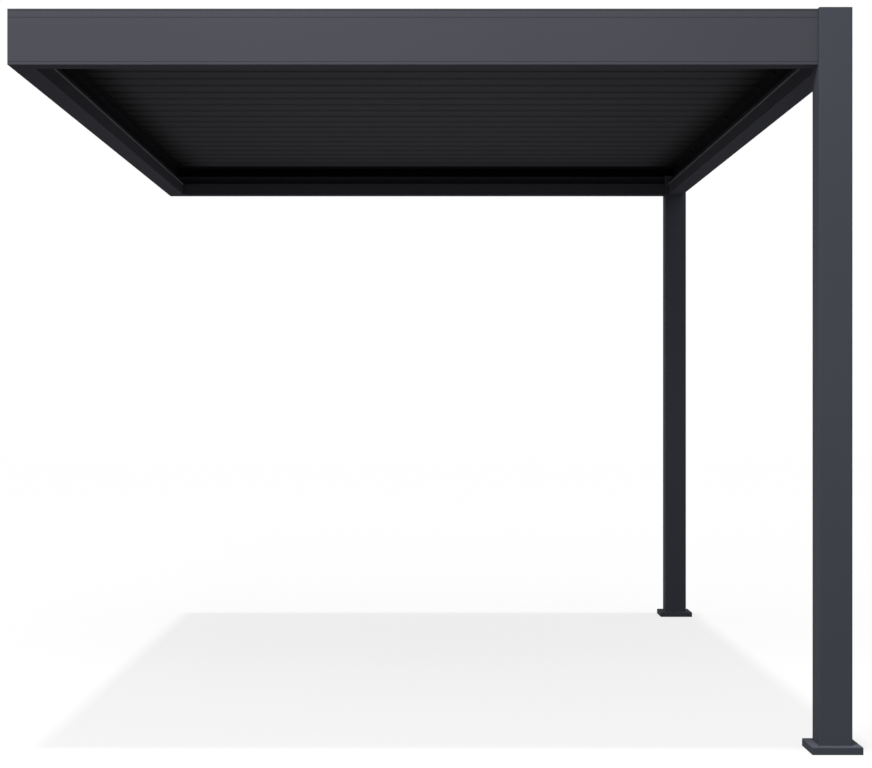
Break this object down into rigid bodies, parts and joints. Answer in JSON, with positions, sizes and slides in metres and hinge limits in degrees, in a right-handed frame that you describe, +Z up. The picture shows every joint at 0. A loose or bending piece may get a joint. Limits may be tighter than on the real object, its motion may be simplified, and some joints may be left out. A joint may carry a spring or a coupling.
{
  "type": "wall-mounted louvred pergola",
  "caption": "Wall-mounted aluminium pergola on two square posts, with a hollow ring beam, inner gutter and a roof of turning louvres.",
  "frame": {"origin": "centre of the wall beam's back face, where the frame meets the wall", "axes": "+X out from the wall to the posts, +Y along the wall, +Z up"},
  "size_m": [2.864, 4.058, 2.5],
  "materials": {
    "beam_coat": "anthracite powder coat, fine matt texture",
    "gutter_coat": "anthracite powder coat, fine matt texture",
    "post_coat": "anthracite powder coat, fine matt texture",
    "cap_coat": "anthracite powder coat, fine matt texture",
    "foot_coat": "anthracite powder coat, fine matt texture",
    "galvanised_steel": "hot-dip galvanised",
    "rail_black": "black coat",
    "strip_coat": "anthracite powder coat, fine matt texture",
    "louvre_coat": "anthracite powder coat, fine matt texture",
    "link_metal": "mill finish"
  },
  "bodies": {
    "frame": {"beam_wall": "beam_coat", "beam_front": "beam_coat", "beam_back": "beam_coat", "beam_outer": "beam_coat", "gutter_wall": "gutter_coat", "gutter_front": "gutter_coat", "gutter_back": "gutter_coat", "gutter_outer": "gutter_coat", "post_front": "post_coat", "post_back": "post_coat", "post_cap_front": "cap_coat", "post_cap_back": "cap_coat", "foot_cover_front": "foot_coat", "foot_cover_back": "foot_coat", "base_plate_front": "galvanised_steel", "base_plate_back": "galvanised_steel", "pivot_rail_wall": "rail_black", "pivot_rail_outer": "rail_black", "closing_strip_front": "strip_coat", "closing_strip_back": "strip_coat"},
    "louvre_01": {"louvre_01": "louvre_coat"},
    "louvre_02": {"louvre_02": "louvre_coat"},
    "louvre_03": {"louvre_03": "louvre_coat"},
    "louvre_04": {"louvre_04": "louvre_coat"},
    "louvre_05": {"louvre_05": "louvre_coat"},
    "louvre_06": {"louvre_06": "louvre_coat"},
    "louvre_07": {"louvre_07": "louvre_coat"},
    "louvre_08": {"louvre_08": "louvre_coat"},
    "louvre_09": {"louvre_09": "louvre_coat"},
    "louvre_10": {"louvre_10": "louvre_coat"},
    "louvre_11": {"louvre_11": "louvre_coat"},
    "louvre_12": {"louvre_12": "louvre_coat"},
    "louvre_13": {"louvre_13": "louvre_coat"},
    "louvre_14": {"louvre_14": "louvre_coat"},
    "louvre_15": {"louvre_15": "louvre_coat"},
    "louvre_16": {"louvre_16": "louvre_coat"},
    "louvre_17": {"louvre_17": "louvre_coat"},
    "louvre_18": {"louvre_18": "louvre_coat"},
    "louvre_19": {"louvre_19": "louvre_coat"},
    "louvre_20": {"louvre_20": "louvre_coat"},
    "louvre_21": {"louvre_21": "louvre_coat"},
    "louvre_22": {"louvre_22": "louvre_coat"},
    "louvre_23": {"louvre_23": "louvre_coat"},
    "link_bar": {"link_bar": "link_metal"}
  },
  "joints": [
    {"name": "louvre_01_turn", "type": "hinge", "parent": "frame", "child": "louvre_01", "pos_m": [0, -1.76, 0.065], "axis": [1, 0, 0], "range_deg": [0, 90]},
    {"name": "louvre_02_turn", "type": "hinge", "parent": "frame", "child": "louvre_02", "pos_m": [0, -1.6, 0.065], "axis": [1, 0, 0], "range_deg": [0, 90]},
    {"name": "louvre_03_turn", "type": "hinge", "parent": "frame", "child": "louvre_03", "pos_m": [0, -1.44, 0.065], "axis": [1, 0, 0], "range_deg": [0, 90]},
    {"name": "louvre_04_turn", "type": "hinge", "parent": "frame", "child": "louvre_04", "pos_m": [0, -1.28, 0.065], "axis": [1, 0, 0], "range_deg": [0, 90]},
    {"name": "louvre_05_turn", "type": "hinge", "parent": "frame", "child": "louvre_05", "pos_m": [0, -1.12, 0.065], "axis": [1, 0, 0], "range_deg": [0, 90]},
    {"name": "louvre_06_turn", "type": "hinge", "parent": "frame", "child": "louvre_06", "pos_m": [0, -0.96, 0.065], "axis": [1, 0, 0], "range_deg": [0, 90]},
    {"name": "louvre_07_turn", "type": "hinge", "parent": "frame", "child": "louvre_07", "pos_m": [0, -0.8, 0.065], "axis": [1, 0, 0], "range_deg": [0, 90]},
    {"name": "louvre_08_turn", "type": "hinge", "parent": "frame", "child": "louvre_08", "pos_m": [0, -0.64, 0.065], "axis": [1, 0, 0], "range_deg": [0, 90]},
    {"name": "louvre_09_turn", "type": "hinge", "parent": "frame", "child": "louvre_09", "pos_m": [0, -0.48, 0.065], "axis": [1, 0, 0], "range_deg": [0, 90]},
    {"name": "louvre_10_turn", "type": "hinge", "parent": "frame", "child": "louvre_10", "pos_m": [0, -0.32, 0.065], "axis": [1, 0, 0], "range_deg": [0, 90]},
    {"name": "louvre_11_turn", "type": "hinge", "parent": "frame", "child": "louvre_11", "pos_m": [0, -0.16, 0.065], "axis": [1, 0, 0], "range_deg": [0, 90]},
    {"name": "louvre_12_turn", "type": "hinge", "parent": "frame", "child": "louvre_12", "pos_m": [0, 0, 0.065], "axis": [1, 0, 0], "range_deg": [0, 90]},
    {"name": "louvre_13_turn", "type": "hinge", "parent": "frame", "child": "louvre_13", "pos_m": [0, 0.16, 0.065], "axis": [1, 0, 0], "range_deg": [0, 90]},
    {"name": "louvre_14_turn", "type": "hinge", "parent": "frame", "child": "louvre_14", "pos_m": [0, 0.32, 0.065], "axis": [1, 0, 0], "range_deg": [0, 90]},
    {"name": "louvre_15_turn", "type": "hinge", "parent": "frame", "child": "louvre_15", "pos_m": [0, 0.48, 0.065], "axis": [1, 0, 0], "range_deg": [0, 90]},
    {"name": "louvre_16_turn", "type": "hinge", "parent": "frame", "child": "louvre_16", "pos_m": [0, 0.64, 0.065], "axis": [1, 0, 0], "range_deg": [0, 90]},
    {"name": "louvre_17_turn", "type": "hinge", "parent": "frame", "child": "louvre_17", "pos_m": [0, 0.8, 0.065], "axis": [1, 0, 0], "range_deg": [0, 90]},
    {"name": "louvre_18_turn", "type": "hinge", "parent": "frame", "child": "louvre_18", "pos_m": [0, 0.96, 0.065], "axis": [1, 0, 0], "range_deg": [0, 90]},
    {"name": "louvre_19_turn", "type": "hinge", "parent": "frame", "child": "louvre_19", "pos_m": [0, 1.12, 0.065], "axis": [1, 0, 0], "range_deg": [0, 90]},
    {"name": "louvre_20_turn", "type": "hinge", "parent": "frame", "child": "louvre_20", "pos_m": [0, 1.28, 0.065], "axis": [1, 0, 0], "range_deg": [0, 90]},
    {"name": "louvre_21_turn", "type": "hinge", "parent": "frame", "child": "louvre_21", "pos_m": [0, 1.44, 0.065], "axis": [1, 0, 0], "range_deg": [0, 90]},
    {"name": "louvre_22_turn", "type": "hinge", "parent": "frame", "child": "louvre_22", "pos_m": [0, 1.6, 0.065], "axis": [1, 0, 0], "range_deg": [0, 90]},
    {"name": "louvre_23_turn", "type": "hinge", "parent": "frame", "child": "louvre_23", "pos_m": [0, 1.76, 0.065], "axis": [1, 0, 0], "range_deg": [0, 90]},
    {"name": "link_bar_swing", "type": "hinge", "parent": "louvre_01", "child": "link_bar", "pos_m": [0, -1.78121, 0.04379], "axis": [1, 0, 0], "range_deg": [-90, 0]}
  ],
  "couplings": [
    {"joint": "louvre_02_turn", "follows": "louvre_01_turn", "ratio": 1},
    {"joint": "louvre_03_turn", "follows": "louvre_01_turn", "ratio": 1},
    {"joint": "louvre_04_turn", "follows": "louvre_01_turn", "ratio": 1},
    {"joint": "louvre_05_turn", "follows": "louvre_01_turn", "ratio": 1},
    {"joint": "louvre_06_turn", "follows": "louvre_01_turn", "ratio": 1},
    {"joint": "louvre_07_turn", "follows": "louvre_01_turn", "ratio": 1},
    {"joint": "louvre_08_turn", "follows": "louvre_01_turn", "ratio": 1},
    {"joint": "louvre_09_turn", "follows": "louvre_01_turn", "ratio": 1},
    {"joint": "louvre_10_turn", "follows": "louvre_01_turn", "ratio": 1},
    {"joint": "louvre_11_turn", "follows": "louvre_01_turn", "ratio": 1},
    {"joint": "louvre_12_turn", "follows": "louvre_01_turn", "ratio": 1},
    {"joint": "louvre_13_turn", "follows": "louvre_01_turn", "ratio": 1},
    {"joint": "louvre_14_turn", "follows": "louvre_01_turn", "ratio": 1},
    {"joint": "louvre_15_turn", "follows": "louvre_01_turn", "ratio": 1},
    {"joint": "louvre_16_turn", "follows": "louvre_01_turn", "ratio": 1},
    {"joint": "louvre_17_turn", "follows": "louvre_01_turn", "ratio": 1},
    {"joint": "louvre_18_turn", "follows": "louvre_01_turn", "ratio": 1},
    {"joint": "louvre_19_turn", "follows": "louvre_01_turn", "ratio": 1},
    {"joint": "louvre_20_turn", "follows": "louvre_01_turn", "ratio": 1},
    {"joint": "louvre_21_turn", "follows": "louvre_01_turn", "ratio": 1},
    {"joint": "louvre_22_turn", "follows": "louvre_01_turn", "ratio": 1},
    {"joint": "louvre_23_turn", "follows": "louvre_01_turn", "ratio": 1},
    {"joint": "link_bar_swing", "follows": "louvre_01_turn", "ratio": -1}
  ]
}
